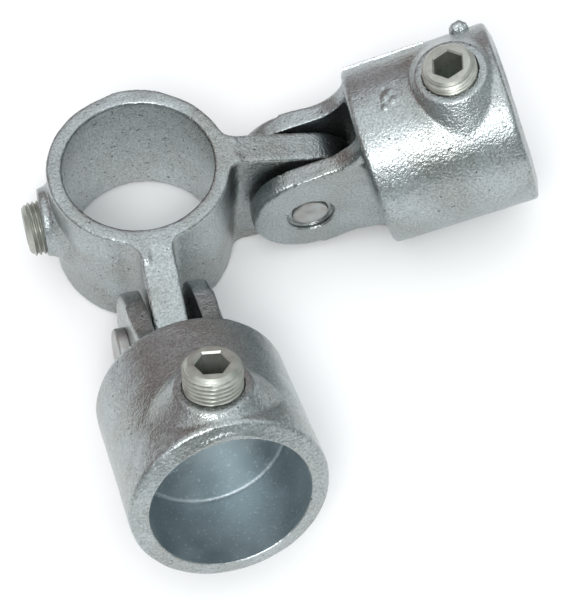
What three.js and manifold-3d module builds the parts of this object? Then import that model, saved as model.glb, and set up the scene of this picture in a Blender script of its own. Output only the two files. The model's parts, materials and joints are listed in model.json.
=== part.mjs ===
// Corner swivel clamp for 48.3 mm structural tube, in galvanised malleable iron.
// A collar slides on one tube and carries two tongues at a right angle. Each tongue
// holds a forked socket on a riveted pin, and each bore has a set screw that grips.
// Millimetres, +Z along the collar's bore, origin at the middle of that bore.

import * as THREE from 'three';
import { mergeVertices } from 'three/addons/utils/BufferGeometryUtils.js';
import Module from 'manifold-3d';

const wasm = await Module();
wasm.setup();

// Tube side: every bore is a loose fit on 48.3 mm tube
const BORE_R = 24.75;
const BORE_SIDES = 64;
const SMALL_SIDES = 40;

// Collar
const COLLAR_R = 30;
const COLLAR_HEIGHT = 47.3;
const COLLAR_CHAMFER = 0.8;
const COLLAR_BOSS_TOP = 33.8;
const COLLAR_BOSS_R = 11.5;
const COLLAR_BOSS_AZIMUTH = 180;
const COLLAR_SCREW_FACE = 39.4;
const COLLAR_SCREW_AZIMUTH = 183;

// Tongues
const PIN_REACH = 54.7;
const PIN_BELOW_MIDDLE = 2.2;
const TONGUE_HALF_AT_ROOT = 5.3;
const TONGUE_HALF_AT_PIN = 5.8;
const TONGUE_HALF_AT_END = 5.5;
const TONGUE_END_R = 19.2;
const TONGUE_TAPER_START = 31;
const ROOT_FILLET_R = 5;

// Forked sockets, measured from the pin along the socket's own axis
const SOCKET_BACK = 23.6;
const SOCKET_MOUTH = 75.2;
const SOCKET_R = 30.6;
const SOCKET_BACK_R = 30.3;
const SOCKET_DEPTH = 28;
const SOCKET_AXIS_ABOVE_PIN = 1.2;
const SOCKET_BACK_CHAMFER = 1.4;
const SOCKET_MOUTH_CHAMFER = 0.8;
const FORK_GAP_HALF = 7.8;
const FORK_OUTER_HALF = 14.4;
const EAR_R = 19.4;
const EAR_FLARE_START = 11.5;
const EAR_FLARE_R = 14;
const SLOT_DEPTH = 34;
const SLOT_HALF_HEIGHT = 21;

// How the two sockets stand at rest
const TILT_A = 15;
const TILT_B = 19.6;
const LEAN_B = 4.5;
const ROLL_B = 4;
const SIDE_PLAY_B = 0.15;

// Pivot pins
const PIN_R = 6;
const PIN_HOLE_IN_EAR_R = 6.3;
const PIN_HOLE_IN_TONGUE_R = 6.9;
const PIN_HEAD_R = 9.6;
const PIN_HEAD_HEIGHT = 3.6;
const PIN_RECESS_R = 8;
const PIN_RECESS_DEPTH = 1.6;
const PIN_END_BELOW_EAR = 0.9;

// Set screws, 18 mm with a fine thread, with a hexagon socket and a cup point
const SCREW_R = 9;
const SCREW_HOLE_R = 9.35;
const SCREW_LENGTH = 12.5;
const SCREW_BEVEL = 1;
const HEX_ACROSS_FLATS = 9;
const HEX_DEPTH = 6.5;
const CUP_R = 5;
const CUP_DEPTH = 1.6;
const SCREW_FROM_PIN = 58.6;
const SCREW_FACE_A = 37;
const SCREW_FACE_B = 41;
const BOSS_TOP_R = 12.1;
const BOSS_BASE_R = 19.4;
const BOSS_BASE_HEIGHT = 23.7;
const BOSS_BEVEL = 1;
const SOCKET_BOSS_TOP = 32.6;

const GAP = 0.3;

const deg = THREE.MathUtils.degToRad;

// Turns a closed three.js geometry into a solid that can be joined and cut
function solid(geometry) {
  const bare = geometry.index ? geometry.toNonIndexed() : geometry.clone();
  bare.deleteAttribute('normal');
  bare.deleteAttribute('uv');
  const merged = mergeVertices(bare, 1e-4);
  return new wasm.Manifold(new wasm.Mesh({
    numProp: 3,
    vertProperties: merged.attributes.position.array,
    triVerts: Uint32Array.from(merged.index.array),
  }));
}

function namedMesh(name, body, material) {
  const { vertProperties, triVerts } = body.getMesh();
  const geometry = new THREE.BufferGeometry();
  geometry.setAttribute('position', new THREE.BufferAttribute(Float32Array.from(vertProperties), 3));
  geometry.setIndex(Array.from(triVerts));
  geometry.computeVertexNormals();
  const mesh = new THREE.Mesh(geometry, material);
  mesh.name = name;
  return mesh;
}

// A form turned about Z from [radius, height] points, listed anticlockwise
function turned(points, sides) {
  const profile = points.map(([radius, height]) => new THREE.Vector2(radius, height));
  profile.push(profile[0].clone());
  return new THREE.LatheGeometry(profile, sides).rotateX(Math.PI / 2);
}

// A plain round bar about Z
function bar(radius, from, to, sides) {
  return turned([[0, from], [radius, from], [radius, to], [0, to]], sides);
}

// A shape drawn in XZ, extruded along Y between two places
function plate(shape, from, to) {
  const depth = to - from;
  const options = { depth, bevelEnabled: false, curveSegments: 24 };
  return new THREE.ExtrudeGeometry(shape, options).rotateX(Math.PI / 2).translate(0, to, 0);
}

// Where a line from a point touches a circle, on the chosen side
function touchPoint(x, z, centreX, centreZ, radius, side) {
  const distance = Math.hypot(centreX - x, centreZ - z);
  const toPoint = Math.atan2(z - centreZ, x - centreX);
  return toPoint + side * Math.acos(radius / distance);
}

// Seen from above: half thicknesses along the tongue, with a fillet where it leaves the collar
function tonguePlan() {
  const filletY = TONGUE_HALF_AT_ROOT + ROOT_FILLET_R;
  const filletX = Math.sqrt((COLLAR_R + ROOT_FILLET_R) ** 2 - filletY ** 2);
  const meets = Math.atan2(filletY, filletX);
  const inside = (BORE_R + COLLAR_R) / 2;
  const end = PIN_REACH + TONGUE_END_R + 1;
  const shape = new THREE.Shape();
  shape.moveTo(inside * Math.cos(meets), -inside * Math.sin(meets));
  shape.absarc(filletX, -filletY, ROOT_FILLET_R, Math.PI - meets, Math.PI / 2, true);
  shape.lineTo(PIN_REACH - PIN_R, -TONGUE_HALF_AT_PIN);
  shape.lineTo(PIN_REACH + PIN_R, -TONGUE_HALF_AT_PIN);
  shape.lineTo(end, -TONGUE_HALF_AT_END);
  shape.lineTo(end, TONGUE_HALF_AT_END);
  shape.lineTo(PIN_REACH + PIN_R, TONGUE_HALF_AT_PIN);
  shape.lineTo(PIN_REACH - PIN_R, TONGUE_HALF_AT_PIN);
  shape.absarc(filletX, filletY, ROOT_FILLET_R, -Math.PI / 2, -Math.PI + meets, true);
  shape.lineTo(inside * Math.cos(meets), inside * Math.sin(meets));
  return shape;
}

// Seen from the side: full collar height at the root, tapering to a round end over the pin
function tongueSide() {
  const half = COLLAR_HEIGHT / 2;
  const centreZ = SOCKET_AXIS_ABOVE_PIN - PIN_BELOW_MIDDLE;
  const start = (BORE_R + COLLAR_R) / 2 - 2;
  const top = touchPoint(TONGUE_TAPER_START, half, PIN_REACH, centreZ, TONGUE_END_R, -1);
  const bottom = touchPoint(TONGUE_TAPER_START, -half, PIN_REACH, centreZ, TONGUE_END_R, 1);
  const shape = new THREE.Shape();
  shape.moveTo(start, -half);
  shape.lineTo(TONGUE_TAPER_START, -half);
  shape.absarc(PIN_REACH, centreZ, TONGUE_END_R, bottom, top, false);
  shape.lineTo(TONGUE_TAPER_START, half);
  shape.lineTo(start, half);
  return shape;
}

function tongue() {
  const plan = new THREE.ExtrudeGeometry(tonguePlan(), {
    depth: COLLAR_HEIGHT,
    bevelEnabled: false,
    curveSegments: 10,
  }).translate(0, 0, -COLLAR_HEIGHT / 2);
  const reach = TONGUE_HALF_AT_PIN + ROOT_FILLET_R * 2;
  const side = plate(tongueSide(), -reach, reach);
  const hole = bar(PIN_HOLE_IN_TONGUE_R, -reach, reach, SMALL_SIDES)
    .rotateX(Math.PI / 2)
    .translate(PIN_REACH, 0, -PIN_BELOW_MIDDLE);
  return solid(plan).intersect(solid(side)).subtract(solid(hole));
}

// A cone-sided screw boss about Z, from inside the wall up to its flat top, cut level with the mouth
function socketBoss() {
  const cone = turned([
    [0, BOSS_BASE_HEIGHT],
    [BOSS_BASE_R, BOSS_BASE_HEIGHT],
    [BOSS_TOP_R, SOCKET_BOSS_TOP - BOSS_BEVEL],
    [BOSS_TOP_R - BOSS_BEVEL, SOCKET_BOSS_TOP],
    [0, SOCKET_BOSS_TOP],
  ], SMALL_SIDES).translate(SCREW_FROM_PIN, 0, SOCKET_AXIS_ABOVE_PIN);
  return solid(cone).trimByPlane([-1, 0, 0], -SOCKET_MOUTH);
}

function collarBoss() {
  const stub = turned([
    [0, BORE_R - 1],
    [COLLAR_BOSS_R + 1, BORE_R - 1],
    [COLLAR_BOSS_R, COLLAR_BOSS_TOP - BOSS_BEVEL],
    [COLLAR_BOSS_R - BOSS_BEVEL, COLLAR_BOSS_TOP],
    [0, COLLAR_BOSS_TOP],
  ], SMALL_SIDES);
  return solid(stub.rotateY(Math.PI / 2).rotateZ(deg(COLLAR_BOSS_AZIMUTH)));
}

function screwHole(past) {
  return bar(SCREW_HOLE_R, 12, past, SMALL_SIDES);
}

function collarBody() {
  const half = COLLAR_HEIGHT / 2;
  const ring = turned([
    [0, -half],
    [COLLAR_R - COLLAR_CHAMFER, -half],
    [COLLAR_R, -half + COLLAR_CHAMFER],
    [COLLAR_R, half - COLLAR_CHAMFER],
    [COLLAR_R - COLLAR_CHAMFER, half],
    [0, half],
  ], BORE_SIDES);
  const bore = bar(BORE_R, -half - 5, half + 5, BORE_SIDES);
  const drill = screwHole(COLLAR_BOSS_TOP + 5)
    .rotateY(Math.PI / 2)
    .rotateZ(deg(COLLAR_SCREW_AZIMUTH));
  const tongueA = tongue();
  const tongueB = tongueA.rotate([0, 0, -90]);
  return solid(ring).add(tongueA).add(tongueB).add(collarBoss())
    .subtract(solid(bore)).subtract(solid(drill));
}

// Seen from the side: a round ear that flares up and down into the socket's back
function earOutline() {
  const end = EAR_FLARE_START + EAR_FLARE_R;
  const shape = new THREE.Shape();
  shape.moveTo(end, -EAR_R - EAR_FLARE_R);
  shape.absarc(EAR_FLARE_START, -EAR_R - EAR_FLARE_R, EAR_FLARE_R, 0, Math.PI / 2, false);
  shape.absarc(0, 0, EAR_R, -Math.PI / 2, Math.PI / 2, true);
  shape.absarc(EAR_FLARE_START, EAR_R + EAR_FLARE_R, EAR_FLARE_R, -Math.PI / 2, 0, false);
  return shape;
}

function fork() {
  const ears = solid(plate(earOutline(), -FORK_OUTER_HALF, FORK_OUTER_HALF));
  const envelope = solid(bar(SOCKET_BACK_R, -EAR_R - 5, SOCKET_MOUTH / 2, BORE_SIDES)
    .rotateY(Math.PI / 2));
  return ears.intersect(envelope).translate([0, 0, SOCKET_AXIS_ABOVE_PIN]);
}

// The socket's axis is X, a little above the pin; flushSide picks the ear with the recess
function socketBody(flushSide) {
  const shell = turned([
    [0, SOCKET_BACK],
    [SOCKET_BACK_R - SOCKET_BACK_CHAMFER, SOCKET_BACK],
    [SOCKET_BACK_R, SOCKET_BACK + SOCKET_BACK_CHAMFER],
    [SOCKET_R, SOCKET_MOUTH - SOCKET_MOUTH_CHAMFER],
    [SOCKET_R - SOCKET_MOUTH_CHAMFER, SOCKET_MOUTH],
    [BORE_R, SOCKET_MOUTH],
    [BORE_R, SOCKET_MOUTH - SOCKET_DEPTH],
    [0, SOCKET_MOUTH - SOCKET_DEPTH],
  ], BORE_SIDES).rotateY(Math.PI / 2).translate(0, 0, SOCKET_AXIS_ABOVE_PIN);
  const drill = screwHole(SOCKET_BOSS_TOP + 5).translate(SCREW_FROM_PIN, 0, SOCKET_AXIS_ABOVE_PIN);
  const bore = bar(BORE_R, SOCKET_MOUTH - SOCKET_DEPTH, SOCKET_MOUTH + 5, BORE_SIDES)
    .rotateY(Math.PI / 2)
    .translate(0, 0, SOCKET_AXIS_ABOVE_PIN);
  const slotLength = SLOT_DEPTH + EAR_R + 5;
  const slot = new THREE.BoxGeometry(slotLength, FORK_GAP_HALF * 2, SLOT_HALF_HEIGHT * 2)
    .translate(SLOT_DEPTH - slotLength / 2, 0, SOCKET_AXIS_ABOVE_PIN);
  const opening = new THREE.BoxGeometry(SOCKET_BACK + EAR_R + 5, FORK_GAP_HALF * 2, SOCKET_R * 2)
    .translate((SOCKET_BACK - EAR_R - 5) / 2, 0, SOCKET_AXIS_ABOVE_PIN);
  const pinHole = bar(PIN_HOLE_IN_EAR_R, -FORK_OUTER_HALF - 5, FORK_OUTER_HALF + 5, SMALL_SIDES)
    .rotateX(Math.PI / 2);
  const recess = bar(PIN_RECESS_R, FORK_OUTER_HALF - PIN_RECESS_DEPTH, FORK_OUTER_HALF + 5, SMALL_SIDES)
    .rotateX(-flushSide * Math.PI / 2);
  return solid(shell).add(fork()).add(socketBoss()).subtract(solid(bore))
    .subtract(solid(slot)).subtract(solid(opening)).subtract(solid(drill))
    .subtract(solid(pinHole)).subtract(solid(recess));
}

// The head stands on one ear and the other end is riveted over in the recess
function pivotPin(flushSide) {
  const headBase = FORK_OUTER_HALF + GAP;
  const pin = turned([
    [0, -headBase - PIN_HEAD_HEIGHT],
    [PIN_HEAD_R - 1, -headBase - PIN_HEAD_HEIGHT],
    [PIN_HEAD_R, -headBase - PIN_HEAD_HEIGHT + 1],
    [PIN_HEAD_R, -headBase],
    [PIN_R, -headBase],
    [PIN_R, FORK_OUTER_HALF - PIN_END_BELOW_EAR],
    [0, FORK_OUTER_HALF - PIN_END_BELOW_EAR],
  ], SMALL_SIDES);
  return solid(pin.rotateX(-flushSide * Math.PI / 2));
}

// A set screw about Z with its driven face at the given height
function setScrew(face) {
  const tip = face - SCREW_LENGTH;
  const blank = solid(turned([
    [0, tip + CUP_DEPTH],
    [CUP_R, tip],
    [SCREW_R - SCREW_BEVEL, tip],
    [SCREW_R, tip + SCREW_BEVEL],
    [SCREW_R, face - SCREW_BEVEL / 2],
    [SCREW_R - SCREW_BEVEL / 2, face],
    [0, face],
  ], SMALL_SIDES));
  const cornerR = HEX_ACROSS_FLATS / Math.sqrt(3);
  const hexagon = bar(cornerR, face - HEX_DEPTH, face + 1, 6);
  return blank.subtract(solid(hexagon));
}

function castIron() {
  return new THREE.MeshStandardMaterial({ color: 0xa9b0b1, roughness: 0.45, metalness: 0.85 });
}

function platedSteel() {
  return new THREE.MeshStandardMaterial({ color: 0x9c9c8c, roughness: 0.4, metalness: 0.9 });
}

function rivetSteel() {
  return new THREE.MeshStandardMaterial({ color: 0x9aa0a0, roughness: 0.5, metalness: 0.85 });
}

// One swivel: socket, its pin and its set screw, in a frame with the pin along Y
function swivel(letter, flushSide, screwFace) {
  const group = new THREE.Group();
  group.add(namedMesh(`socket_body_${letter}`, socketBody(flushSide), castIron()));
  group.add(namedMesh(`pivot_pin_${letter}`, pivotPin(flushSide), rivetSteel()));
  const screw = namedMesh(`set_screw_${letter}`, setScrew(screwFace), platedSteel());
  screw.position.set(SCREW_FROM_PIN, 0, SOCKET_AXIS_ABOVE_PIN);
  group.add(screw);
  return group;
}

const clamp = new THREE.Group();
clamp.add(namedMesh('collar_body', collarBody(), castIron()));

const collarScrew = namedMesh('set_screw_collar', setScrew(COLLAR_SCREW_FACE), platedSteel());
collarScrew.rotation.set(0, Math.PI / 2, deg(COLLAR_SCREW_AZIMUTH), 'ZYX');
clamp.add(collarScrew);

const swivelA = swivel('a', -1, SCREW_FACE_A);
swivelA.position.set(PIN_REACH, 0, -PIN_BELOW_MIDDLE);
swivelA.rotation.set(0, -deg(TILT_A), 0);
clamp.add(swivelA);

// The fork is wider than the tongue, so this socket also leans and rolls a little on its pin
const swivelB = swivel('b', 1, SCREW_FACE_B);
swivelB.position.set(SIDE_PLAY_B, -PIN_REACH, -PIN_BELOW_MIDDLE);
swivelB.rotation.set(-deg(ROLL_B), -deg(TILT_B), deg(LEAN_B - 90), 'ZYX');
clamp.add(swivelB);

export default clamp;
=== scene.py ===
import json
from math import atan2, cos, hypot, pi, radians, sin, sqrt

import bmesh
import bpy
from mathutils import Matrix, Vector


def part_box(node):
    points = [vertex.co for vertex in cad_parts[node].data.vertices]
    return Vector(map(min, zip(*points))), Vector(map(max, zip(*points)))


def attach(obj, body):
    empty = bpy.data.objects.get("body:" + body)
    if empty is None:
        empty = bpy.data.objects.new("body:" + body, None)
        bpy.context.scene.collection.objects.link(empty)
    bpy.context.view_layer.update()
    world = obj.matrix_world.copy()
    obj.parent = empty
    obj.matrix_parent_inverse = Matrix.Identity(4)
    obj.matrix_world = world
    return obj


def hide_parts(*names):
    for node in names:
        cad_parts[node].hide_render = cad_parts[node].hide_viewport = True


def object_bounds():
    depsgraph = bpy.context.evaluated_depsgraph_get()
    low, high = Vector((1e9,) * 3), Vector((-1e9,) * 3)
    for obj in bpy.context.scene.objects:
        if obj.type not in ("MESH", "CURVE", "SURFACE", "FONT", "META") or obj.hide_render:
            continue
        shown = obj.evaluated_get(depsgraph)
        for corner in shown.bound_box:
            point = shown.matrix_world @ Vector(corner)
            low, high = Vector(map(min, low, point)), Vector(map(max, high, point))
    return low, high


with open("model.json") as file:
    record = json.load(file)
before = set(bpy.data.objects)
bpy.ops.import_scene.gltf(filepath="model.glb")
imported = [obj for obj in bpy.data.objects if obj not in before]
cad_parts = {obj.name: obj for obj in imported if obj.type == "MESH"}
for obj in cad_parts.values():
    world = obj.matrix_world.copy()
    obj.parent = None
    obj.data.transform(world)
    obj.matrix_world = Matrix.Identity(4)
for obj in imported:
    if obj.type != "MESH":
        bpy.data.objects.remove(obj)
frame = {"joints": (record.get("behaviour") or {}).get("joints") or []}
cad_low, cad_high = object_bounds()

# ---------------------------------------------------------------------------
# Collar casting
# The hub of the clamp: a ring that slides on the upright tube, with two tongues
# and a set-screw boss, sand-cast in one piece in malleable iron, then fettled
# and dipped in molten zinc.
# ---------------------------------------------------------------------------

MM = 0.001
BORE_RADIUS = 24.75 * MM
COLLAR_RADIUS = 30 * MM
COLLAR_RIM_ROUND = 0.9 * MM
BORE_LIP = 0.5 * MM
TONGUE_HALF_ROOT = 5.3 * MM
TONGUE_HALF_END = 5.7 * MM
TONGUE_END_RADIUS = 19.2 * MM
TONGUE_EDGE = 1.2 * MM
TONGUE_FULL_HEIGHT_TO = 31 * MM
ROOT_FILLET = 4.5 * MM
WIDE_ROOT_FILLET = 9 * MM
PIN_HOLE_RADIUS = 6.9 * MM
AXIS_ABOVE_PIN = 1.2 * MM
SCREW_HOLE_RADIUS = 9.08 * MM
COLLAR_BOSS_RADIUS = 11.5 * MM
COLLAR_BOSS_TOP = 33.8 * MM
COLLAR_BOSS_AZIMUTH = 180
RIM_SWELL_RADIUS = 22 * MM
RIM_SWELL_OFFSET = 8.6 * MM
RIM_SWELL_TURN = -7
CAST_VOXEL = 0.6 * MM
CAST_SWELL = 0.35 * MM

joints = {joint["name"]: joint for joint in frame["joints"]}
collar_low, collar_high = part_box("collar_body")
collar_top = collar_high.z
collar_bottom = collar_low.z
collar_height = collar_top - collar_bottom
pin_a = Vector(joints["swing_a"]["pos_m"])


def clear_selection():
    """Back to object mode with nothing picked."""
    if bpy.context.object and bpy.context.object.mode != "OBJECT":
        bpy.ops.object.mode_set(mode="OBJECT")
    bpy.ops.object.select_all(action="DESELECT")


def take(piece):
    """Makes one piece the only one that an operator acts on."""
    clear_selection()
    bpy.context.view_layer.objects.active = piece
    piece.select_set(True)


def settle(piece, name=None):
    """Leaves edit mode with the place of the piece in its mesh and its faces outwards."""
    bpy.ops.object.mode_set(mode="EDIT")
    bpy.ops.mesh.select_all(action="SELECT")
    bpy.ops.mesh.remove_doubles(threshold=0.001 * MM)
    bpy.ops.mesh.normals_make_consistent(inside=False)
    bpy.ops.object.mode_set(mode="OBJECT")
    take(piece)
    bpy.ops.object.transform_apply(location=True, rotation=True, scale=True)
    if name:
        piece.name = name
        piece.data.name = name
    return piece


def pick(kind, test):
    """In edit mode, selects the edges or faces whose middle passes the test."""
    mesh = bmesh.from_edit_mesh(bpy.context.object.data)
    bpy.ops.mesh.select_all(action="DESELECT")
    for item in mesh.edges if kind == "EDGE" else mesh.faces:
        middle = sum((v.co for v in item.verts), Vector()) / len(item.verts)
        if test(middle):
            item.select_set(True)
    bmesh.update_edit_mesh(bpy.context.object.data)


def block(low, high):
    """A box between two corners, as a tool for joining or cutting."""
    clear_selection()
    low, high = Vector(low), Vector(high)
    bpy.ops.mesh.primitive_cube_add(size=1, location=(low + high) / 2, scale=high - low)
    return settle(bpy.context.object)


def grow(rings, sides=96, place=Matrix.Identity(4)):
    """A round form about Z: a disc extruded and scaled through (radius, height) rings."""
    clear_selection()
    radius, height = rings[0]
    bpy.ops.mesh.primitive_circle_add(vertices=sides, radius=radius, fill_type="NGON")
    piece = bpy.context.object
    bpy.ops.object.mode_set(mode="EDIT")
    bpy.ops.transform.translate(value=(0, 0, height))
    for next_radius, next_height in rings[1:]:
        rise = (0, 0, next_height - height)
        scale = next_radius / radius
        bpy.ops.mesh.extrude_region_move(TRANSFORM_OT_translate={"value": rise})
        bpy.ops.transform.resize(value=(scale, scale, 1), center_override=(0, 0, 0))
        radius, height = next_radius, next_height
    bpy.ops.object.mode_set(mode="OBJECT")
    piece.matrix_world = place
    return settle(piece)


def combine(body, tool, operation):
    """Welds a tool to the body, or cuts it away, and clears the tool."""
    boolean = body.modifiers.new(operation.lower(), "BOOLEAN")
    boolean.operation = operation
    boolean.solver = "EXACT"
    boolean.object = tool
    take(body)
    bpy.ops.object.modifier_apply(modifier=boolean.name)
    bpy.data.objects.remove(tool, do_unlink=True)
    return body


def along_x(distance=0.0, height=0.0):
    """Lays a form made about Z along +X."""
    return Matrix.Translation((distance, 0, height)) @ Matrix.Rotation(pi / 2, 4, "Y")


def along_y(x=0.0, z=0.0):
    """Lays a form made about Z along +Y."""
    return Matrix.Translation((x, 0, z)) @ Matrix.Rotation(-pi / 2, 4, "X")


def fillet_post(centre_x, centre_y, radius, near, far, low, high):
    """The concave corner between two walls: a post with a round hollowed out of it."""
    post = block((near[0], near[1], low), (far[0], far[1], high))
    hollow = grow([(radius, low - radius), (radius, high + radius)], 64,
                  Matrix.Translation((centre_x, centre_y, 0)))
    return combine(post, hollow, "DIFFERENCE")


def mirrored_y(piece):
    """A copy on the other side of the XZ plane, with its faces turned the right way."""
    take(piece)
    bpy.ops.object.duplicate()
    copy = bpy.context.object
    copy.scale = (1, -1, 1)
    bpy.ops.object.transform_apply(location=False, rotation=False, scale=True)
    return settle(copy)


def as_cast(piece, name, swell_size, swell_depth):
    """Skins the welded forms over as one casting, softens it and adds the sand's unevenness."""
    skin = piece.modifiers.new("skin", "REMESH")
    skin.mode = "VOXEL"
    skin.voxel_size = CAST_VOXEL
    skin.use_smooth_shade = True
    take(piece)
    bpy.ops.object.modifier_apply(modifier="skin")
    soften = piece.modifiers.new("soften", "SMOOTH")
    soften.factor = 0.5
    soften.iterations = 5
    bpy.ops.object.modifier_apply(modifier="soften")
    swell = bpy.data.textures.new(name + "_swell", "CLOUDS")
    swell.noise_scale = swell_size
    swell.noise_depth = 2
    uneven = piece.modifiers.new("uneven", "DISPLACE")
    uneven.texture = swell
    uneven.strength = swell_depth
    uneven.mid_level = 0.5
    bpy.ops.object.modifier_apply(modifier="uneven")
    piece.name = name
    piece.data.name = name
    return piece


def root_fillet(radius):
    """Where a tongue's +Y side runs into the round of the collar."""
    centre_y = TONGUE_HALF_ROOT + radius
    centre_x = sqrt((COLLAR_RADIUS + radius) ** 2 - centre_y ** 2)
    meets = COLLAR_RADIUS / (COLLAR_RADIUS + radius)
    inside_wall = 25.5 * MM
    return fillet_post(centre_x, centre_y, radius, (inside_wall, TONGUE_HALF_ROOT / 2),
                       (centre_x, centre_y * meets), collar_bottom, collar_top)


def make_tongue(left_fillet, right_fillet):
    """One tongue along +X: a thin root plate and a round end, hulled into one taper."""
    end_height = pin_a.z + AXIS_ABOVE_PIN
    reach = TONGUE_HALF_END
    edge = TONGUE_EDGE
    tongue = grow([
        (TONGUE_END_RADIUS - edge, -reach),
        (TONGUE_END_RADIUS - 0.3 * edge, -reach + 0.3 * edge),
        (TONGUE_END_RADIUS, -reach + edge),
        (TONGUE_END_RADIUS, reach - edge),
        (TONGUE_END_RADIUS - 0.3 * edge, reach - 0.3 * edge),
        (TONGUE_END_RADIUS - edge, reach),
    ], 128, along_y(pin_a.x, end_height))
    take(tongue)
    bpy.ops.object.mode_set(mode="EDIT")
    root_depth = 4 * MM
    bpy.ops.mesh.primitive_cube_add(
        size=1,
        location=(TONGUE_FULL_HEIGHT_TO - root_depth / 2, 0, 0),
        scale=(root_depth, 2 * TONGUE_HALF_ROOT, collar_height),
    )
    bpy.ops.mesh.select_all(action="SELECT")
    bpy.ops.mesh.convex_hull()
    settle(tongue)
    combine(tongue, root_fillet(left_fillet), "UNION")
    right = root_fillet(right_fillet)
    turned_over = mirrored_y(right)
    bpy.data.objects.remove(right, do_unlink=True)
    return combine(tongue, turned_over, "UNION")


def make_collar():
    """The ring with its tongues, boss and rim swell, welded, skinned over and then drilled."""
    half = collar_height / 2
    edge = COLLAR_RIM_ROUND
    ring = grow([
        (COLLAR_RADIUS - edge, -half),
        (COLLAR_RADIUS - 0.3 * edge, -half + 0.3 * edge),
        (COLLAR_RADIUS, -half + edge),
        (COLLAR_RADIUS, half - edge),
        (COLLAR_RADIUS - 0.3 * edge, half - 0.3 * edge),
        (COLLAR_RADIUS - edge, half),
    ], 160)
    tongue_a = make_tongue(ROOT_FILLET, ROOT_FILLET)
    tongue_b = make_tongue(ROOT_FILLET, WIDE_ROOT_FILLET)
    tongue_b.matrix_world = Matrix.Rotation(-pi / 2, 4, "Z")
    settle(tongue_b)
    combine(ring, tongue_a, "UNION")
    combine(ring, tongue_b, "UNION")

    boss_turn = Matrix.Rotation(radians(COLLAR_BOSS_AZIMUTH), 4, "Z") @ along_x()
    top = COLLAR_BOSS_TOP
    boss = grow([
        (16.0 * MM, 26.0 * MM),
        (14.6 * MM, 28.6 * MM),
        (12.6 * MM, 30.0 * MM),
        (COLLAR_BOSS_RADIUS + 0.3 * MM, 31.2 * MM),
        (COLLAR_BOSS_RADIUS, top - 0.8 * MM),
        (COLLAR_BOSS_RADIUS - 0.3 * MM, top - 0.2 * MM),
        (COLLAR_BOSS_RADIUS - 1.0 * MM, top),
    ], 96, boss_turn)
    combine(ring, boss, "UNION")

    # where the metal ran in, the far side of the rim swells a little
    swell = grow([(RIM_SWELL_RADIUS, -half), (RIM_SWELL_RADIUS, half)], 96,
                 Matrix.Rotation(radians(RIM_SWELL_TURN), 4, "Z")
                 @ Matrix.Translation((0, RIM_SWELL_OFFSET, 0)))
    combine(ring, swell, "UNION")

    lip = BORE_LIP
    core = grow([
        (BORE_RADIUS + 1.2 * lip, -half - lip),
        (BORE_RADIUS + 0.8 * lip, -half + 3.2 * lip),
        (BORE_RADIUS, -half + 4.4 * lip),
        (BORE_RADIUS, half - lip),
        (BORE_RADIUS + 2 * lip, half + lip),
    ], 160)
    combine(ring, core, "DIFFERENCE")
    casting = as_cast(ring, "collar_casting", 7 * MM, CAST_SWELL)

    past_tongue = 12 * MM
    for turn in (0, -pi / 2):
        hole = grow([(PIN_HOLE_RADIUS, -past_tongue), (PIN_HOLE_RADIUS, past_tongue)], 64,
                    Matrix.Rotation(turn, 4, "Z") @ along_y(pin_a.x, pin_a.z))
        combine(casting, hole, "DIFFERENCE")
    screw_axis = Vector(joints["screw_collar_travel"]["axis"])
    screw_turn = screw_axis.to_track_quat("Z", "Y").to_matrix().to_4x4()
    hole = grow([
        (SCREW_HOLE_RADIUS, 15 * MM),
        (SCREW_HOLE_RADIUS, top - 0.4 * MM),
        (SCREW_HOLE_RADIUS + 1.0 * MM, top + 1 * MM),
    ], 64, screw_turn)
    return combine(casting, hole, "DIFFERENCE")


def linear(hex_colour, alpha=1.0):
    """An sRGB hex colour as the linear values that the shaders work in."""
    channels = [int(hex_colour[i:i + 2], 16) / 255 for i in (1, 3, 5)]
    curve = [c / 12.92 if c <= 0.04045 else ((c + 0.055) / 1.055) ** 2.4 for c in channels]
    return curve + [alpha]


def add_node(tree, kind, settings=None, **links):
    """Adds one node; settings fill its properties or sockets, links feed its sockets."""
    node = tree.nodes.new(kind)
    for key, value in (settings or {}).items():
        if hasattr(node, key):
            setattr(node, key, value)
        else:
            node.inputs[key].default_value = value
    for key, source in links.items():
        socket = node.inputs[int(key[1:])] if key[0] == "_" else node.inputs[key.replace("_", " ")]
        tree.links.new(source, socket)
    return node


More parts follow.
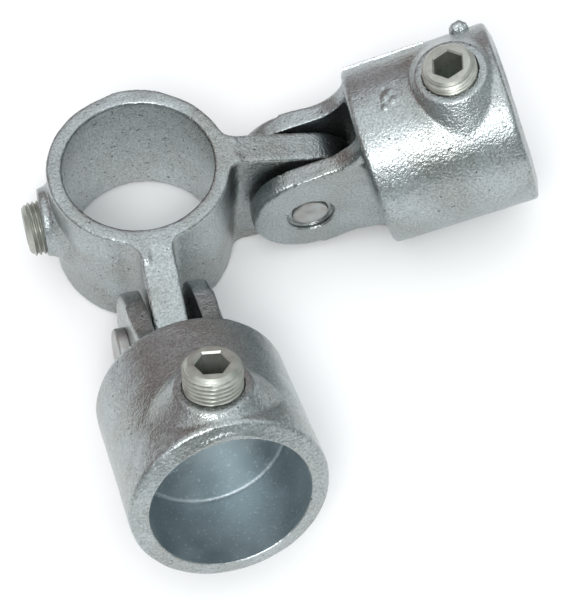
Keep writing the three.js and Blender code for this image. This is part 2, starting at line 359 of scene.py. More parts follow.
def galvanised_cast_iron(name, dull_tone, pale_tone, grit_height, pits_from):
    """Hot-dip zinc over a sand casting: an even mid-grey metal that takes a hard bright speckle
    where the light catches the sand's grit, with tiny dark pits and slightly duller patches."""
    material = bpy.data.materials.new(name)
    material.use_nodes = True
    tree = material.node_tree
    shader = tree.nodes["Principled BSDF"]
    shader.inputs["Metallic"].default_value = 1.0
    place = add_node(tree, "ShaderNodeTexCoord").outputs["Object"]

    # the zinc's tone drifts a little over 15 to 20 mm
    drift = add_node(tree, "ShaderNodeTexNoise", {"Scale": 1 / (17 * MM), "Detail": 2.0},
                     Vector=place)
    zinc = add_node(tree, "ShaderNodeValToRGB", Fac=drift.outputs["Fac"])
    zinc.color_ramp.elements[0].position = 0.36
    zinc.color_ramp.elements[0].color = linear(dull_tone)
    zinc.color_ramp.elements[1].position = 0.64
    zinc.color_ramp.elements[1].color = linear(pale_tone)

    # grains stand a little paler than the hollows between them
    grit = add_node(tree, "ShaderNodeTexNoise",
                    {"Scale": 1 / (0.72 * MM), "Detail": 2.0, "Roughness": 0.55}, Vector=place)
    hollow_share = add_node(tree, "ShaderNodeMapRange",
                            {"From Min": 0.3, "From Max": 0.7, "To Min": 1.0, "To Max": 0.0},
                            Value=grit.outputs["Fac"])
    grainy = add_node(tree, "ShaderNodeMix", {"data_type": "RGBA", "blend_type": "MULTIPLY"},
                      _0=hollow_share.outputs["Result"], _6=zinc.outputs["Color"])
    grainy.inputs[7].default_value = linear("#c6c9c8")

    # pits under a millimetre across where sand grains let go
    pit = add_node(tree, "ShaderNodeTexNoise", {"Scale": 1 / (1.3 * MM), "Detail": 1.0}, Vector=place)
    pit_share = add_node(tree, "ShaderNodeMapRange",
                         {"From Min": pits_from, "From Max": pits_from + 0.06},
                         Value=pit.outputs["Fac"])
    pitted = add_node(tree, "ShaderNodeMix", {"data_type": "RGBA", "blend_type": "MULTIPLY"},
                      _0=pit_share.outputs["Result"], _6=grainy.outputs[2])
    pitted.inputs[7].default_value = linear("#a2a4a4")
    tree.links.new(pitted.outputs[2], shader.inputs["Base Color"])

    dull = add_node(tree, "ShaderNodeMapRange",
                    {"From Min": 0.3, "From Max": 0.7, "To Min": 0.26, "To Max": 0.34},
                    Value=drift.outputs["Fac"])
    tree.links.new(dull.outputs["Result"], shader.inputs["Roughness"])

    # shallow ripples every few millimetres, and the sand's grit a little under a millimetre
    ripple = add_node(tree, "ShaderNodeTexNoise", {"Scale": 1 / (2.4 * MM), "Detail": 1.0},
                      Vector=place)
    ripple_bump = add_node(tree, "ShaderNodeBump", {"Strength": 1.0, "Distance": 0.13 * MM},
                           Height=ripple.outputs["Fac"])
    grit_bump = add_node(tree, "ShaderNodeBump", {"Strength": 1.0, "Distance": grit_height},
                         Height=grit.outputs["Fac"], Normal=ripple_bump.outputs["Normal"])
    pit_bump = add_node(tree, "ShaderNodeBump",
                        {"Strength": 1.0, "Distance": 0.06 * MM, "invert": True},
                        Height=pit_share.outputs["Result"], Normal=grit_bump.outputs["Normal"])
    tree.links.new(pit_bump.outputs["Normal"], shader.inputs["Normal"])
    return material


def finish_faces(piece, finish, test):
    """Gives the faces that pass the test a finish of their own."""
    piece.data.materials.append(finish)
    take(piece)
    bpy.ops.object.mode_set(mode="EDIT")
    bpy.ops.mesh.select_mode(type="FACE")
    pick("FACE", test)
    piece.active_material_index = len(piece.data.materials) - 1
    bpy.ops.object.material_slot_assign()
    bpy.ops.object.mode_set(mode="OBJECT")


# the skin takes the mould's finer sand, and the collar's bore the coarser sand of a core; the bore's
# tone is also painted far paler than the skin's, a painted reflection of the lit table inside the ring
cast_finish = galvanised_cast_iron("hot_dip_galvanised_cast_iron", "#a8aba9", "#b8bec0", 0.19 * MM, 0.71)
core_sand_painted_pale_finish = galvanised_cast_iron("galvanised_core_sand_painted_pale", "#d3d6d5", "#dfe4e6", 0.3 * MM, 0.66)
collar = make_collar()
collar.data.materials.clear()
collar.data.materials.append(cast_finish)
# the bore's faces take the coarse core-sand grit and the painted pale tone that stands in for reflected
# light
finish_faces(collar, core_sand_painted_pale_finish, lambda m: hypot(m.x, m.y) < BORE_RADIUS + BORE_LIP
             and abs(m.z) < collar_height / 2 - BORE_LIP)
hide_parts("collar_body")
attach(collar, "collar")

# ---------------------------------------------------------------------------
# Forked sockets
# Two castings from one pattern: a blind round socket with a set-screw boss, and
# a fork of two ears that flare into its back. The bore is cored and cleaned up
# with a cutter, and all of it is galvanised like the collar.
# ---------------------------------------------------------------------------

SOCKET_BACK = 23.6 * MM
SOCKET_MOUTH = 75.2 * MM
SOCKET_RADIUS = 30.6 * MM
SOCKET_BACK_RADIUS = 30.3 * MM
SOCKET_DEPTH = 28 * MM
BACK_ROUND = 1.9 * MM
MOUTH_ROUND = 1.4 * MM
MOUTH_FALL = 1.2 * MM
FLOOR_ROUND = 1.3 * MM
EAR_RADIUS = 19.4 * MM
EAR_OUTER = 14.4 * MM
FORK_GAP = 7.8 * MM
EAR_EDGE = 1.5 * MM
FLARE_START = 11.5 * MM
FLARE_RADIUS = 14 * MM
SIDE_FILLET = 4 * MM
SLOT_TO = 34 * MM
SLOT_HALF_HEIGHT = 21 * MM
SCREW_FROM_PIN = 58.6 * MM
SOCKET_BOSS_TOP = 32.6 * MM
BOSS_TOP_RADIUS = 12.0 * MM
BOSS_BASE_RADIUS = 19.4 * MM
BOSS_BASE_HEIGHT = 23.7 * MM
BOSS_ROUND = 0.8 * MM
EAR_HOLE_RADIUS = 6.25 * MM
RECESS_RADIUS = 7.9 * MM
RECESS_DEPTH = 1.9 * MM


def swivel_place(swing, travel):
    """The frame of one swivel: its pin, with Y along the pin and Z along its set screw."""
    pin = -Vector(swing["axis"]).normalized()
    screw = Vector(travel["axis"]).normalized()
    reach = pin.cross(screw)
    turn = Matrix((reach, pin, screw)).transposed().to_4x4()
    return Matrix.Translation(Vector(swing["pos_m"])) @ turn


def rounded_rings(radius, end, corner, way, steps=6):
    """Rings that carry a cylinder's side round a quarter circle onto its end."""
    rings = []
    for i in range(steps + 1):
        angle = pi / 2 * i / steps
        rings.append((radius - corner * (1 - cos(angle)), end - way * corner * (1 - sin(angle))))
    return rings


def make_fork():
    """Both ears in one plate: a round end and a straight neck, with a hollow flare each side."""
    wide = EAR_OUTER
    fork = grow([
        (EAR_RADIUS - EAR_EDGE, -wide),
        (EAR_RADIUS - 0.3 * EAR_EDGE, -wide + 0.3 * EAR_EDGE),
        (EAR_RADIUS, -wide + EAR_EDGE),
        (EAR_RADIUS, wide - EAR_EDGE),
        (EAR_RADIUS - 0.3 * EAR_EDGE, wide - 0.3 * EAR_EDGE),
        (EAR_RADIUS - EAR_EDGE, wide),
    ], 128, along_y())
    flare_end = SOCKET_BACK + 6 * MM
    tall = EAR_RADIUS + FLARE_RADIUS
    neck = block((0, -wide, -tall), (flare_end, wide, tall))
    for side in (-1, 1):
        hollow = grow([
            (FLARE_RADIUS + EAR_EDGE, -wide - 1 * MM),
            (FLARE_RADIUS + EAR_EDGE, -wide),
            (FLARE_RADIUS + 0.3 * EAR_EDGE, -wide + 0.3 * EAR_EDGE),
            (FLARE_RADIUS, -wide + EAR_EDGE),
            (FLARE_RADIUS, wide - EAR_EDGE),
            (FLARE_RADIUS + 0.3 * EAR_EDGE, wide - 0.3 * EAR_EDGE),
            (FLARE_RADIUS + EAR_EDGE, wide),
            (FLARE_RADIUS + EAR_EDGE, wide + 1 * MM),
        ], 128, along_y(FLARE_START, side * tall))
        combine(neck, hollow, "DIFFERENCE")
        corner = block((-1 * MM, -2 * wide, side * EAR_RADIUS),
                       (FLARE_START, 2 * wide, side * 2 * tall))
        combine(neck, corner, "DIFFERENCE")
    combine(fork, neck, "UNION")
    inside_back = SOCKET_BACK_RADIUS - 0.3 * MM
    envelope = grow([(inside_back, -30 * MM), (inside_back, 40 * MM)], 160, along_x())
    return combine(fork, envelope, "INTERSECT")


def make_socket():
    """The casting in its own frame, along +X from the middle of its fork."""
    shell_rings = [(SOCKET_BACK_RADIUS - BACK_ROUND, SOCKET_BACK)]
    shell_rings += rounded_rings(SOCKET_BACK_RADIUS, SOCKET_BACK, BACK_ROUND, -1)[::-1]
    shell_rings += rounded_rings(SOCKET_RADIUS, SOCKET_MOUTH - MOUTH_FALL, MOUTH_ROUND, 1)
    shell_rings.append((BORE_RADIUS, SOCKET_MOUTH))
    shell = grow(shell_rings, 160, along_x())
    combine(shell, make_fork(), "UNION")

    post = fillet_post(SOCKET_BACK - SIDE_FILLET, EAR_OUTER + SIDE_FILLET, SIDE_FILLET,
                       (SOCKET_BACK + 1 * MM, FORK_GAP),
                       (SOCKET_BACK - SIDE_FILLET, EAR_OUTER + SIDE_FILLET), -19 * MM, 19 * MM)
    other = mirrored_y(post)
    combine(shell, post, "UNION")
    combine(shell, other, "UNION")

    top = SOCKET_BOSS_TOP
    boss = grow([
        (BOSS_BASE_RADIUS, BOSS_BASE_HEIGHT),
        (BOSS_TOP_RADIUS + 0.4 * BOSS_ROUND, top - BOSS_ROUND),
        (BOSS_TOP_RADIUS - 0.2 * BOSS_ROUND, top - 0.25 * BOSS_ROUND),
        (BOSS_TOP_RADIUS - BOSS_ROUND, top),
    ], 96, Matrix.Translation((SCREW_FROM_PIN, 0, 0)))
    beyond_mouth = block((SOCKET_MOUTH, -40 * MM, 0),
                         (SOCKET_MOUTH + 20 * MM, 40 * MM, 50 * MM))
    combine(boss, beyond_mouth, "DIFFERENCE")
    combine(shell, boss, "UNION")

    gap = block((-30 * MM, -FORK_GAP, -40 * MM), (SOCKET_BACK, FORK_GAP, 40 * MM))
    combine(shell, gap, "DIFFERENCE")
    slot = block((0, -FORK_GAP, -SLOT_HALF_HEIGHT), (SLOT_TO, FORK_GAP, SLOT_HALF_HEIGHT))
    combine(shell, slot, "DIFFERENCE")

    floor = SOCKET_MOUTH - SOCKET_DEPTH
    core_rings = [(BORE_RADIUS - FLOOR_ROUND, floor)]
    core_rings += rounded_rings(BORE_RADIUS, floor, FLOOR_ROUND, -1)[::-1]
    core_rings += [
        (BORE_RADIUS, SOCKET_MOUTH - 0.4 * MM),
        (BORE_RADIUS + 0.8 * MM, SOCKET_MOUTH + 0.4 * MM),
        (BORE_RADIUS + 0.8 * MM, SOCKET_MOUTH + 3 * MM),
    ]
    casting = as_cast(shell, "socket_casting", 8 * MM, CAST_SWELL)
    combine(casting, grow(core_rings, 160, along_x()), "DIFFERENCE")

    hole = grow([
        (SCREW_HOLE_RADIUS, 14 * MM),
        (SCREW_HOLE_RADIUS, top - 0.4 * MM),
        (SCREW_HOLE_RADIUS + 1.0 * MM, top + 1 * MM),
    ], 64, Matrix.Translation((SCREW_FROM_PIN, 0, 0)))
    combine(casting, hole, "DIFFERENCE")

    casting.data.transform(Matrix.Translation((0, 0, AXIS_ABOVE_PIN)))
    hole = grow([(EAR_HOLE_RADIUS, -20 * MM), (EAR_HOLE_RADIUS, 20 * MM)], 64, along_y())
    return combine(casting, hole, "DIFFERENCE")


def rivet_recess(casting, side):
    """The counterbore that takes the riveted end, on one ear only."""
    face = EAR_OUTER - RECESS_DEPTH
    rings = [(RECESS_RADIUS - 0.6 * MM, face), (RECESS_RADIUS, face + 0.6 * MM),
             (RECESS_RADIUS, EAR_OUTER - 0.5 * MM), (RECESS_RADIUS + 1.5 * MM, EAR_OUTER + 1 * MM)]
    turn = Matrix.Identity(4) if side > 0 else Matrix.Rotation(pi, 4, "Z")
    return combine(casting, grow(rings, 64, turn @ along_y()), "DIFFERENCE")


def cutter_cleaned_bore():
    """The cored bore, skimmed with a cutter before dipping: bluer and smoother than the skin, with a
    thin scatter of grit."""
    material = bpy.data.materials.new("galvanised_cleaned_bore")
    material.use_nodes = True
    tree = material.node_tree
    shader = tree.nodes["Principled BSDF"]
    shader.inputs["Metallic"].default_value = 1.0
    place = add_node(tree, "ShaderNodeTexCoord").outputs["Object"]
    drift = add_node(tree, "ShaderNodeTexNoise", {"Scale": 1 / (9 * MM), "Detail": 3.0}, Vector=place)
    tone = add_node(tree, "ShaderNodeValToRGB", Fac=drift.outputs["Fac"])
    tone.color_ramp.elements[0].position = 0.35
    tone.color_ramp.elements[0].color = linear("#9ca6aa")
    tone.color_ramp.elements[1].position = 0.65
    tone.color_ramp.elements[1].color = linear("#adb8bc")
    speck = add_node(tree, "ShaderNodeTexNoise",
                     {"Scale": 1 / (1.2 * MM), "Detail": 2.0, "Roughness": 0.7}, Vector=place)
    speck_share = add_node(tree, "ShaderNodeMapRange", {"From Min": 0.6, "From Max": 0.72},
                           Value=speck.outputs["Fac"])
    speckled = add_node(tree, "ShaderNodeMix", {"data_type": "RGBA"},
                        _0=speck_share.outputs["Result"], _6=tone.outputs["Color"])
    speckled.inputs[7].default_value = linear("#cfd8dc")
    tree.links.new(speckled.outputs[2], shader.inputs["Base Color"])
    dull = add_node(tree, "ShaderNodeMapRange",
                    {"From Min": 0.3, "From Max": 0.7, "To Min": 0.42, "To Max": 0.55},
                    Value=drift.outputs["Fac"])
    tree.links.new(dull.outputs["Result"], shader.inputs["Roughness"])
    bump = add_node(tree, "ShaderNodeBump", {"Strength": 1.0, "Distance": 0.14 * MM},
                    Height=speck.outputs["Fac"])
    tree.links.new(bump.outputs["Normal"], shader.inputs["Normal"])
    return material


def in_bore(centre):
    """Whether a face belongs to the bore's wall or floor, while the socket still lies along X."""
    return (centre.x > SOCKET_MOUTH - SOCKET_DEPTH - 0.05 * MM
            and hypot(centre.y, centre.z - AXIS_ABOVE_PIN) < BORE_RADIUS + 0.05 * MM)


# millimetres along the socket, degrees round it, and each mark's radius and height in millimetres
SAND_MARKS = [
    (36.2, 90, 2.2, 0.8),
    (38.2, 94, 1.8, 0.7),
    (35.2, 97, 1.6, 0.7),
    (38.4, 87, 1.3, 0.5),
    (36.6, 84, 1.2, -0.5),
    (34.2, 91, 1.1, -0.4),
]


def on_skin(along, angle, height=0.0):
    """A place on the socket's outside, angle measured round from +Y towards the boss."""
    out = SOCKET_RADIUS + height
    return (Matrix.Translation((along, 0, AXIS_ABOVE_PIN))
            @ Matrix.Rotation(radians(angle - 90), 4, "X") @ Matrix.Translation((0, 0, out)))


def lump(size, place, name):
    """A small rough knob of cast metal: a ball squashed to size and roughened."""
    clear_selection()
    bpy.ops.mesh.primitive_ico_sphere_add(subdivisions=4, radius=0.5)
    knob = bpy.context.object
    knob.scale = size
    bpy.ops.object.transform_apply(location=False, rotation=False, scale=True)
    knob.matrix_world = place
    settle(knob, name)
    crumple = bpy.data.textures.new(name + "_crumple", "CLOUDS")
    crumple.noise_scale = 2.2 * MM
    uneven = knob.modifiers.new("uneven", "DISPLACE")
    uneven.texture = crumple
    uneven.strength = 1.3 * MM
    uneven.mid_level = 0.5
    take(knob)
    bpy.ops.object.modifier_apply(modifier="uneven")
    return knob


def push_skin(casting, centre, width, height):
    """Raises a rounded lump on the socket's side, or sinks a hollow, by moving its skin."""
    for vertex in casting.data.vertices:
        near = (vertex.co - centre).length / width
        if near < 1:
            out = Vector((0, vertex.co.y, vertex.co.z - AXIS_ABOVE_PIN)).normalized()
            vertex.co += out * height * (1 - near ** 2) ** 2


def add_casting_marks(casting):
    """What the foundry left on one socket: the stub of its gate, a low fin along the joint
    of the mould, and a few sand lumps ahead of the fork."""
    stub = lump((6.6 * MM, 4.8 * MM, 5.6 * MM), on_skin(65.4 * MM, 40, 0.4 * MM), "gate_stub")
    combine(casting, stub, "UNION")
    fin = block((-14 * MM, -1.0 * MM, -0.8 * MM), (14 * MM, 1.0 * MM, 0.5 * MM))
    fin.matrix_world = on_skin(39 * MM, 42)
    settle(fin)
    combine(casting, fin, "UNION")
    for along, angle, width, height in SAND_MARKS:
        push_skin(casting, on_skin(along * MM, angle).translation, width * MM, height * MM)


def duplicate(piece, name):
    """A second casting or screw from one pattern, with a mesh of its own."""
    take(piece)
    bpy.ops.object.duplicate()
    copy = bpy.context.object
    copy.name = name
    copy.data.name = name
    return copy


swivels = {
    "a": {"place": swivel_place(joints["swing_a"], joints["screw_a_travel"]), "flush_side": -1},
    "b": {"place": swivel_place(joints["swing_b"], joints["screw_b_travel"]), "flush_side": 1},
}
bore_finish = cutter_cleaned_bore()
pattern = make_socket()
pattern.data.materials.clear()
pattern.data.materials.append(cast_finish)
for letter, swivel in swivels.items():
    socket = duplicate(pattern, f"socket_casting_{letter}")
    rivet_recess(socket, swivel["flush_side"])
    if letter == "a":
        add_casting_marks(socket)
    finish_faces(socket, bore_finish, in_bore)
    socket.data.transform(swivel["place"])
    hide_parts(f"socket_body_{letter}")
    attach(socket, f"swivel_{letter}")
bpy.data.objects.remove(pattern, do_unlink=True)

# ---------------------------------------------------------------------------
# Pivot pins
# Soft steel rivets: a formed head stands on one ear, and the other end is
# pressed over inside the counterbore of the far ear, with the punch's centre mark.
# ---------------------------------------------------------------------------

PIN_RADIUS = 6 * MM
PIN_HEAD_RADIUS = 9.6 * MM
PIN_HEAD_STANDS = 3.9 * MM
HEAD_ROUND = 1.3 * MM
END_BELOW_EAR = 0.7 * MM
END_SPREAD = 6.1 * MM


def make_pin():
    """The pin along +Y, head at -Y, closed end in the recess at +Y."""
    head_face = -EAR_OUTER - PIN_HEAD_STANDS
    end_face = EAR_OUTER - END_BELOW_EAR
    rings = [
        (0.4 * MM, head_face + 0.25 * MM),
        (1.6 * MM, head_face),
        (PIN_HEAD_RADIUS - HEAD_ROUND, head_face),
    ]
    rings += rounded_rings(PIN_HEAD_RADIUS, head_face, HEAD_ROUND, -1)[::-1]
    rings += [
        (PIN_HEAD_RADIUS, -EAR_OUTER - 0.15 * MM),
        (PIN_RADIUS, -EAR_OUTER - 0.15 * MM),
        (PIN_RADIUS, EAR_OUTER - RECESS_DEPTH + 0.05 * MM),
        (END_SPREAD, EAR_OUTER - RECESS_DEPTH + 0.1 * MM),
        (END_SPREAD, end_face - 0.7 * MM),
        (END_SPREAD - 0.2 * MM, end_face - 0.3 * MM),
        (END_SPREAD - 0.7 * MM, end_face - 0.05 * MM),
        (END_SPREAD - 1.4 * MM, end_face),
        (1.0 * MM, end_face - 0.1 * MM),
        (0.5 * MM, end_face - 0.35 * MM),
    ]
    return grow(rings, 72, along_y())


def rivet_steel():
    """Galvanised rivet steel, smoother than the castings."""
    material = bpy.data.materials.new("galvanised_rivet_steel")
    material.use_nodes = True
    tree = material.node_tree
    shader = tree.nodes["Principled BSDF"]
    shader.inputs["Metallic"].default_value = 1.0
    place = add_node(tree, "ShaderNodeTexCoord").outputs["Object"]
    drift = add_node(tree, "ShaderNodeTexNoise", {"Scale": 1 / (4 * MM), "Detail": 3.0}, Vector=place)
    tone = add_node(tree, "ShaderNodeValToRGB", Fac=drift.outputs["Fac"])
    tone.color_ramp.elements[0].position = 0.3
    tone.color_ramp.elements[0].color = linear("#9c9794")
    tone.color_ramp.elements[1].position = 0.7
    tone.color_ramp.elements[1].color = linear("#b3b7b6")
    tree.links.new(tone.outputs["Color"], shader.inputs["Base Color"])
    dull = add_node(tree, "ShaderNodeMapRange",
                    {"From Min": 0.3, "From Max": 0.7, "To Min": 0.38, "To Max": 0.52},
                    Value=drift.outputs["Fac"])
    tree.links.new(dull.outputs["Result"], shader.inputs["Roughness"])
    grain = add_node(tree, "ShaderNodeTexNoise", {"Scale": 1 / (0.9 * MM), "Detail": 3.0}, Vector=place)
    bump = add_node(tree, "ShaderNodeBump", {"Strength": 1.0, "Distance": 0.05 * MM},
                    Height=grain.outputs["Fac"])
    tree.links.new(bump.outputs["Normal"], shader.inputs["Normal"])
    return material


pin_finish = rivet_steel()
for letter, swivel in swivels.items():
    pin = make_pin()
    pin.name = pin.data.name = f"rivet_pin_{letter}"
    if swivel["flush_side"] < 0:
        pin.data.transform(Matrix.Rotation(pi, 4, "Z"))
    pin.data.transform(swivel["place"])
    take(pin)
    bpy.ops.object.shade_smooth_by_angle(angle=radians(35))
    pin.data.materials.append(pin_finish)
    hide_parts(f"pivot_pin_{letter}")
    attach(pin, f"swivel_{letter}")

# ---------------------------------------------------------------------------
# Set screws
# Case-hardened steel, 18 mm across with a fine rolled thread, with a
# hexagon socket in one end and a cup point that bites the tube at the other.
# Zinc-flake dipped, which leaves them a satin greenish grey.
# ---------------------------------------------------------------------------

SCREW_RADIUS = 9 * MM
THREAD_PITCH = 1.5 * MM
THREAD_DEPTH = 0.92 * MM
SCREW_LENGTH = 12.5 * MM
HEX_ACROSS_FLATS = 9 * MM
HEX_DEPTH = 7.6 * MM
CUP_RADIUS = 5 * MM
CUP_DEPTH = 1.6 * MM
RINGS_PER_PITCH = 10
END_TAPER = 1.7 * MM


def zinc_flake_steel():
    """Zinc-flake coated steel: flakes in a thin binder, so a satin, part-metal, greenish grey."""
    material = bpy.data.materials.new("zinc_flake_plated_steel")
    material.use_nodes = True
    tree = material.node_tree
    shader = tree.nodes["Principled BSDF"]
    shader.inputs["Metallic"].default_value = 0.8
    place = add_node(tree, "ShaderNodeTexCoord").outputs["Object"]
    drift = add_node(tree, "ShaderNodeTexNoise", {"Scale": 1 / (3 * MM), "Detail": 3.0}, Vector=place)
    tone = add_node(tree, "ShaderNodeValToRGB", Fac=drift.outputs["Fac"])
    tone.color_ramp.elements[0].position = 0.3
    tone.color_ramp.elements[0].color = linear("#9d9f97")
    tone.color_ramp.elements[1].position = 0.7
    tone.color_ramp.elements[1].color = linear("#b2b5ae")
    tree.links.new(tone.outputs["Color"], shader.inputs["Base Color"])
    dull = add_node(tree, "ShaderNodeMapRange",
                    {"From Min": 0.3, "From Max": 0.7, "To Min": 0.34, "To Max": 0.44},
                    Value=drift.outputs["Fac"])
    tree.links.new(dull.outputs["Result"], shader.inputs["Roughness"])
    grain = add_node(tree, "ShaderNodeTexNoise", {"Scale": 1 / (0.6 * MM), "Detail": 2.0}, Vector=place)
    bump = add_node(tree, "ShaderNodeBump", {"Strength": 1.0, "Distance": 0.03 * MM},
                    Height=grain.outputs["Fac"])
    tree.links.new(bump.outputs["Normal"], shader.inputs["Normal"])
    return material


def hex_bottom_painted_shade():
    """Painted shade for the drilled bottom of the key socket: a dark mottled grey that stands in for the
    shade deep in the hexagon.
    """
    material = bpy.data.materials.new("painted_shade_hex_bottom")
    material.use_nodes = True
    tree = material.node_tree
    shader = tree.nodes["Principled BSDF"]
    shader.inputs["Metallic"].default_value = 1.0
    shader.inputs["Roughness"].default_value = 0.5
    place = add_node(tree, "ShaderNodeTexCoord").outputs["Object"]
    shade_mottle = add_node(tree, "ShaderNodeTexNoise", {"Scale": 1 / (1.5 * MM), "Detail": 2.0}, Vector=place)
    tone = add_node(tree, "ShaderNodeValToRGB", Fac=shade_mottle.outputs["Fac"])
    tone.color_ramp.elements[0].color = linear("#2c302c")
    tone.color_ramp.elements[1].color = linear("#545a52")
    tree.links.new(tone.outputs["Color"], shader.inputs["Base Color"])
    return material


def thread_height(vertex):
    """0 at the root of the thread and 1 at its crest, along a right-hand helix, with the
    peaks and the hollows cut off flat."""
    turns = vertex.z / THREAD_PITCH - atan2(vertex.y, vertex.x) / (2 * pi)
    wave = abs((turns % 1) * 2 - 1)
    return min(1.0, max(0.0, 1.35 * wave - 0.12))


def make_screw():
    """The screw along +Z with its driven face at zero: a ringed bar shaped to its thread."""
    steps = round(SCREW_LENGTH / THREAD_PITCH * RINGS_PER_PITCH)
    rings = [(0.5 * MM, -SCREW_LENGTH + CUP_DEPTH), (CUP_RADIUS, -SCREW_LENGTH)]
    rings += [(SCREW_RADIUS - END_TAPER, -SCREW_LENGTH + 0.01 * MM)]
    rings += [(SCREW_RADIUS, -SCREW_LENGTH + SCREW_LENGTH * i / steps) for i in range(1, steps)]
    face_edge = SCREW_RADIUS - END_TAPER
    rings += [(face_edge, 0), (face_edge - 0.6 * MM, 0.1 * MM)]
    screw = grow(rings, 72)
    for vertex in screw.data.vertices:
        radius = hypot(vertex.co.x, vertex.co.y)
        if radius > SCREW_RADIUS - 0.01 * MM:
            from_end = min(-vertex.co.z, vertex.co.z + SCREW_LENGTH)
            crest = SCREW_RADIUS - max(0, END_TAPER - from_end)
            root = SCREW_RADIUS - THREAD_DEPTH
            target = root + max(0, crest - root) * thread_height(vertex.co)
            if crest < root:
                target = crest
            vertex.co.x *= target / radius
            vertex.co.y *= target / radius
    corner = HEX_ACROSS_FLATS / sqrt(3)
    key = grow([(0.2 * MM, -HEX_DEPTH - 1.5 * MM), (corner, -HEX_DEPTH), (corner, -0.5 * MM),
                (corner + 0.9 * MM, 0.4 * MM)], 6)
    combine(screw, key, "DIFFERENCE")
    screw.data.materials.append(zinc_flake_steel())
    # painted shade: the faces at the bottom of the hexagon socket are coloured near-black for the shade
    # deep inside it
    finish_faces(screw, hex_bottom_painted_shade(), lambda m: -HEX_DEPTH - 1.6 * MM < m.z < -HEX_DEPTH - 0.05 * MM
                 and hypot(m.x, m.y) < corner)
    return screw


def face_place(node, travel, turn):
    """Where a screw's driven face lies: on its axis, at the outer end of its CAD node."""
    axis = Vector(travel["axis"]).normalized()
    low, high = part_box(node)
    middle = (low + high) / 2
    face = middle + axis * SCREW_LENGTH / 2
    upright = axis.to_track_quat("Z", "Y").to_matrix().to_4x4()
    return Matrix.Translation(face) @ upright @ Matrix.Rotation(turn, 4, "Z")


screw_pattern = make_screw()
# how far, in degrees, each screw has been left turned on its own axis
screw_turns = {"collar": 20, "a": 18, "b": 30}
for name, turn in screw_turns.items():
    screw = duplicate(screw_pattern, f"cup_point_screw_{name}")
    screw.data.transform(face_place(f"set_screw_{name}", joints[f"screw_{name}_travel"], radians(turn)))
    take(screw)
    bpy.ops.object.shade_smooth_by_angle(angle=radians(30))
    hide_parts(f"set_screw_{name}")
    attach(screw, f"screw_{name}")
bpy.data.objects.remove(screw_pattern, do_unlink=True)

# ---------------------------------------------------------------------------
# Table, lamps and camera
# A plain pale table under the clamp, one soft lamp over it in a pale room, and a
# long lens looking down at the open socket.
# ---------------------------------------------------------------------------


def matt_white_card():
    """Matt white card: no gloss, only a faint tooth."""
    material = bpy.data.materials.new("matt_white_card")
    material.use_nodes = True
    tree = material.node_tree
    shader = tree.nodes["Principled BSDF"]
    shader.inputs["Base Color"].default_value = linear("#f4f4f4")
    shader.inputs["Roughness"].default_value = 0.9
    shader.inputs["Specular IOR Level"].default_value = 0.1
    place = add_node(tree, "ShaderNodeTexCoord").outputs["Object"]
    tooth = add_node(tree, "ShaderNodeTexNoise", {"Scale": 1 / (2 * MM)}, Vector=place)
    bump = add_node(tree, "ShaderNodeBump", {"Strength": 0.2, "Distance": 0.02 * MM},
                    Height=tooth.outputs["Fac"])
    tree.links.new(bump.outputs["Normal"], shader.inputs["Normal"])
    return material


clear_selection()
bpy.ops.mesh.primitive_plane_add(size=6, location=(0, 0, 0))
table = bpy.context.object
table.name = "table_top"
table.data.transform(Matrix.Translation((0, 0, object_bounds()[0].z - 0.2 * MM)))
table.data.materials.append(matt_white_card())


def soft_lamp(name, place, aim, size, power, tint):
    """A square softbox standing at a place and aimed at the clamp."""
    lamp = bpy.data.lights.new(name, "AREA")
    lamp.shape = "RECTANGLE"
    lamp.size, lamp.size_y = size
    lamp.energy = power
    lamp.color = linear(tint)[:3]
    stand = bpy.data.objects.new(name, lamp)
    stand.location = place
    stand.rotation_euler = (Vector(aim) - Vector(place)).to_track_quat("-Z", "Y").to_euler()
    bpy.context.scene.collection.objects.link(stand)
    return stand


middle = (cad_low + cad_high) / 2


def towards(azimuth, elevation, distance):
    """A place so many metres from the middle of the clamp, by compass and height in degrees."""
    a, e = radians(azimuth), radians(elevation)
    return middle + distance * Vector((cos(a) * cos(e), sin(a) * cos(e), sin(e)))


soft_lamp("key_softbox", towards(-112, 49, 1.0), middle, (0.33, 0.33), 4.3, "#ffffff")

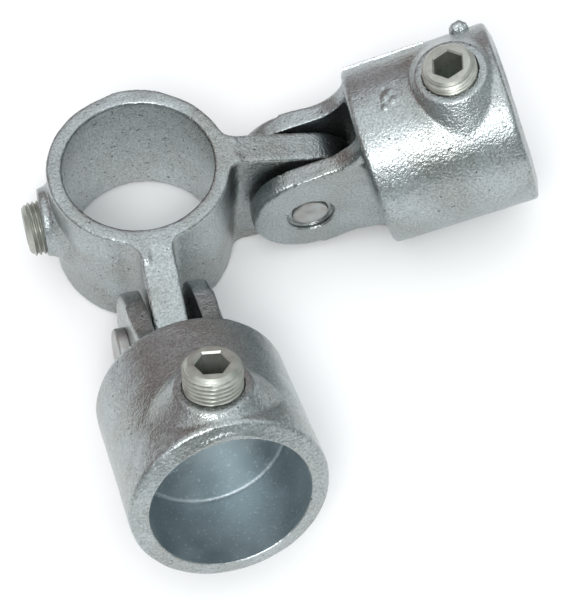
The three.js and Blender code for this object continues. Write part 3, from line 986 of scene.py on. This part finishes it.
# the wash brightens the table and its shadows only, and leaves the metal's reflections alone
wash = bpy.data.lights.new("table_wash", "SUN")
wash.energy = 0.3
wash.angle = radians(25)
wash_stand = bpy.data.objects.new("table_wash", wash)
wash_stand.rotation_euler = towards(-100, 60, 1.0).to_track_quat("Z", "Y").to_euler()
wash_stand.visible_glossy = False
bpy.context.scene.collection.objects.link(wash_stand)


def pale_room():
    """A pale ceiling over a dimmer room, warmer and darker at the back."""
    room = bpy.data.worlds.new("pale_room")
    room.use_nodes = True
    tree = room.node_tree
    way = add_node(tree, "ShaderNodeTexCoord").outputs["Generated"]
    rise = add_node(tree, "ShaderNodeSeparateXYZ", Vector=way).outputs["Z"]
    back = add_node(tree, "ShaderNodeVectorMath", {"operation": "DOT_PRODUCT"}, _0=way)
    back.inputs[1].default_value = (-0.55, 0.83, 0.0)
    back_share = add_node(tree, "ShaderNodeMapRange", {"From Min": -0.2, "From Max": 0.7},
                          Value=back.outputs["Value"])
    walls = add_node(tree, "ShaderNodeMix", {"data_type": "RGBA"}, _0=back_share.outputs["Result"])
    walls.inputs[6].default_value = linear("#858d8d")
    walls.inputs[7].default_value = linear("#80706f")
    ceiling_share = add_node(tree, "ShaderNodeMapRange", {"From Min": 0.35, "From Max": 0.9},
                             Value=rise)
    light = add_node(tree, "ShaderNodeMix", {"data_type": "RGBA"},
                     _0=ceiling_share.outputs["Result"], _6=walls.outputs[2])
    light.inputs[7].default_value = linear("#f6fafc")
    tree.links.new(light.outputs[2], tree.nodes["Background"].inputs["Color"])
    tree.nodes["Background"].inputs["Strength"].default_value = 1.5
    return room


bpy.context.scene.world = pale_room()
bpy.context.scene.view_settings.view_transform = "Standard"

CAMERA_PLACE = (-0.0390, -0.3838, 0.5815)
CAMERA_TURN = (30.59, -0.32, -12.08)
LENS_LENGTH = 125.1
SENSOR_WIDTH = 36
LENS_SHIFT = (0.0066, 0.0130)

lens = bpy.data.cameras.new("bench_camera")
lens.lens = LENS_LENGTH
lens.sensor_width = SENSOR_WIDTH
lens.shift_x, lens.shift_y = LENS_SHIFT
lens.clip_start = 0.01
bench_camera = bpy.data.objects.new("bench_camera", lens)
bench_camera.location = CAMERA_PLACE
bench_camera.rotation_euler = [radians(angle) for angle in CAMERA_TURN]
bpy.context.scene.collection.objects.link(bench_camera)
bpy.context.scene.camera = bench_camera
